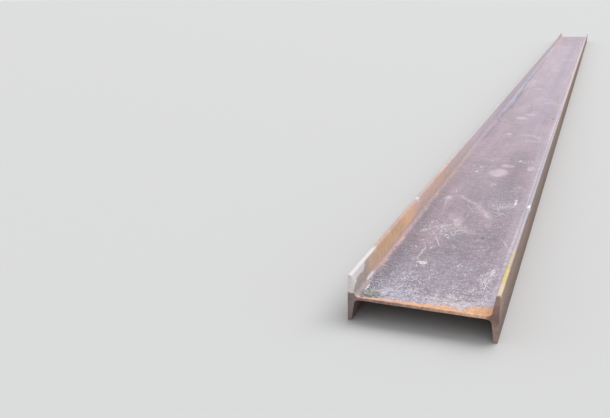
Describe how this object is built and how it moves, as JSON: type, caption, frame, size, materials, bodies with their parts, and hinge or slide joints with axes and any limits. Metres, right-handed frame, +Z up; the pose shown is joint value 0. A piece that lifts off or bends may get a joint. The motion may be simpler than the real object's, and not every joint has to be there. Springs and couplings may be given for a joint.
{
  "type": "steel i-beam",
  "caption": "Length of rusted hot-rolled I-section beam with tapered flanges and square ends, lying on its side on its flange toes, for framing or lintels.",
  "frame": {"origin": "on the floor, at the middle of the length and of the depth", "axes": "+Y along the beam, away from the end seen in the picture; +X across the web from flange to flange; +Z up, square to the web"},
  "size_m": [0.45, 12, 0.15],
  "materials": {
    "rusted_steel": "hot-rolled mill scale under a film of brown and orange rust",
    "soil": "dry crumbly dirt",
    "dry_stalks": "dry bleached grass and roots"
  },
  "bodies": {
    "root": {"i_beam": "rusted_steel"}
  },
  "joints": []
}
